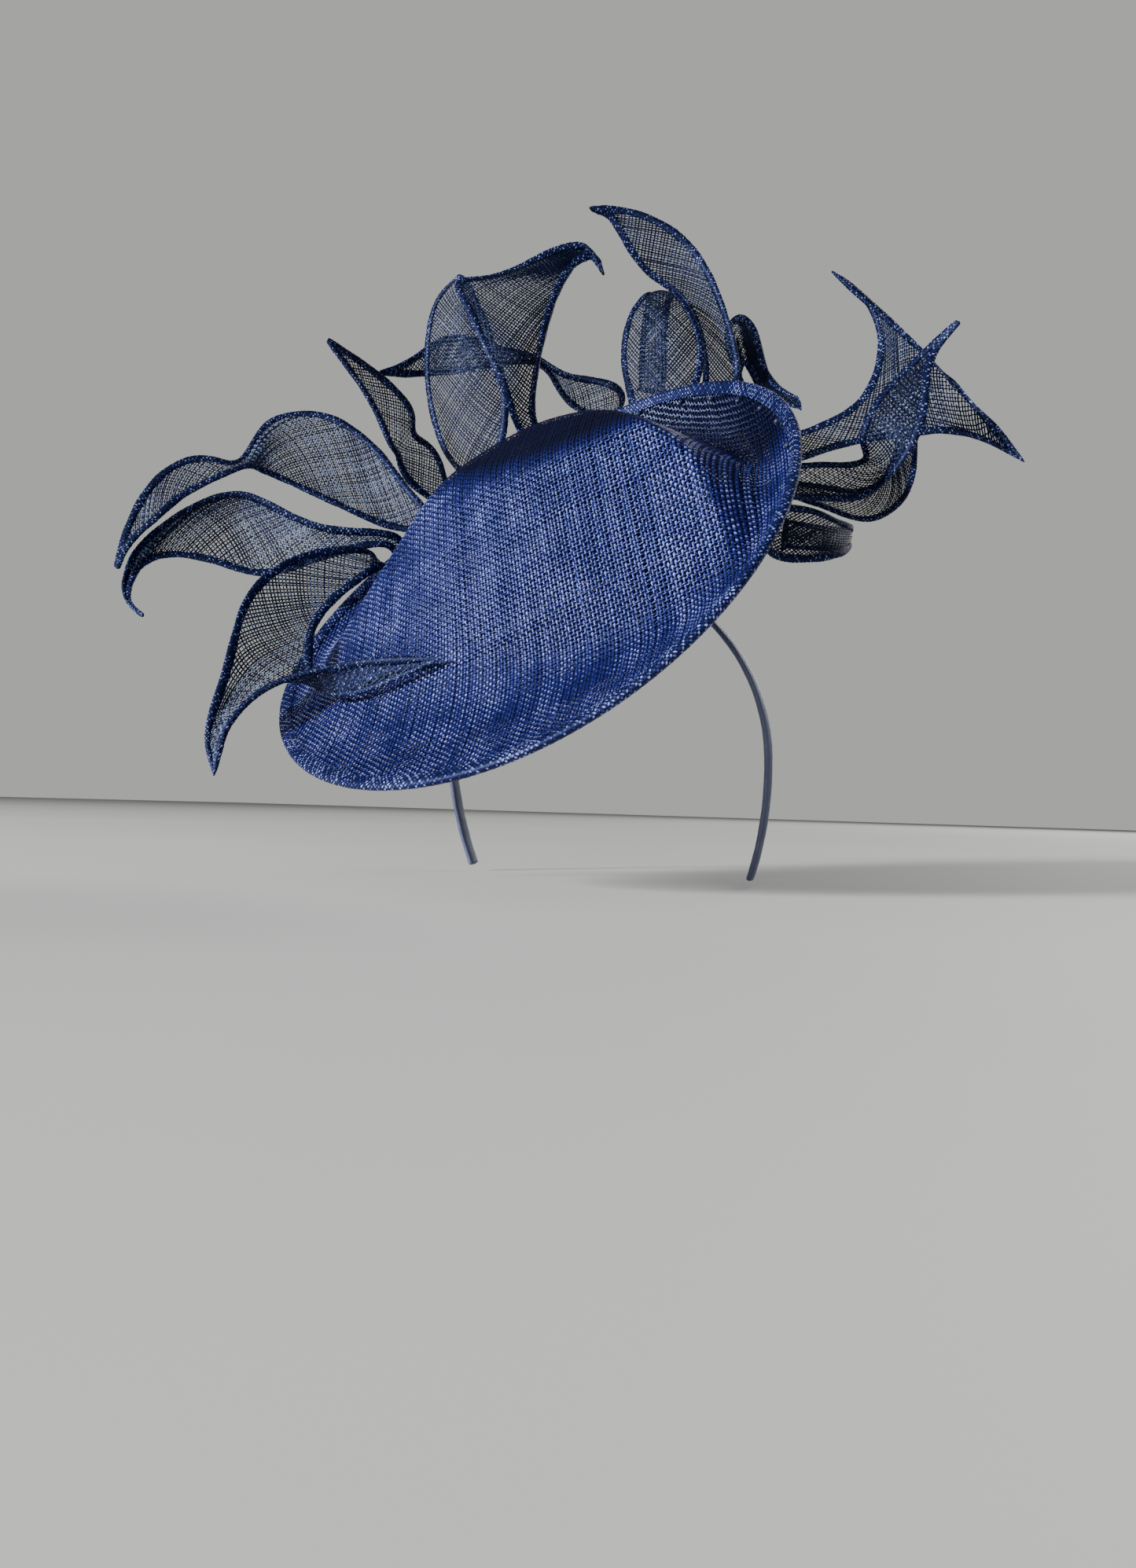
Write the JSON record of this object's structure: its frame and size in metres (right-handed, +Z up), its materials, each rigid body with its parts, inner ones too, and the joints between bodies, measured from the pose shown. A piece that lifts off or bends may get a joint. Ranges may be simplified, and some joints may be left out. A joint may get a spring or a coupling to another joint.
{
  "type": "saucer fascinator headpiece",
  "caption": "Tilted open-weave saucer fascinator with a folded tip crown, looped and pointed leaf trims with rolled hems, and a slim covered headband.",
  "frame": {"origin": "the head seat, on top of the wearer's head where the headband crosses it", "axes": "+X towards the wearer's left, +Y towards the back of the head, +Z up"},
  "size_m": [0.3453, 0.223, 0.3148],
  "materials": {
    "sinamay_base": "stiffened open plain weave, slight shine",
    "sinamay_strip": "open bias weave with rolled hems, slight shine",
    "bias_binding": "folded bias weave, slight shine",
    "head_ribbon": "ribbed, matt",
    "riser_cloth": "stiff woven, matt",
    "satin": "satin",
    "thread": "polyester thread",
    "edge_wire": "thread-covered",
    "joiner_metal": "satin",
    "spring_steel": "brushed"
  },
  "bodies": {
    "hat": {"base_top_layer": "sinamay_base", "base_under_layer": "sinamay_base", "brim_wire": "edge_wire", "wire_joiner": "joiner_metal", "brim_binding": "bias_binding", "head_ribbon": "head_ribbon", "riser": "riser_cloth", "headband_steel_centre": "spring_steel", "headband_cover_centre": "satin", "trim_stitches": "thread", "riser_stitches": "thread", "front_leaf": "sinamay_strip", "left_loop": "sinamay_strip", "side_leaf": "sinamay_strip", "small_leaf": "sinamay_strip", "back_strip": "sinamay_strip", "tall_loop": "sinamay_strip", "tall_leaf": "sinamay_strip", "peak_leaf": "sinamay_strip", "arch_loop": "sinamay_strip", "rear_loop": "sinamay_strip", "right_leaf": "sinamay_strip", "eye_loop": "sinamay_strip", "crescent_loop": "sinamay_strip", "lower_loop": "sinamay_strip"},
    "arm_left": {"headband_steel_left": "spring_steel", "headband_cover_left": "satin"},
    "arm_right": {"headband_steel_right": "spring_steel", "headband_cover_right": "satin"}
  },
  "joints": [
    {"name": "arm_left_flex", "type": "hinge", "parent": "hat", "child": "arm_left", "pos_m": [0.05657, 0.00346, -0.02017], "axis": [0, -0.989, -0.1478], "range_deg": [-6, 14], "stiffness_Nm_per_rad": 1.1},
    {"name": "arm_right_flex", "type": "hinge", "parent": "hat", "child": "arm_right", "pos_m": [-0.05657, 0.00346, -0.02017], "axis": [0, 0.989, 0.1478], "range_deg": [-6, 14], "stiffness_Nm_per_rad": 1.1}
  ]
}
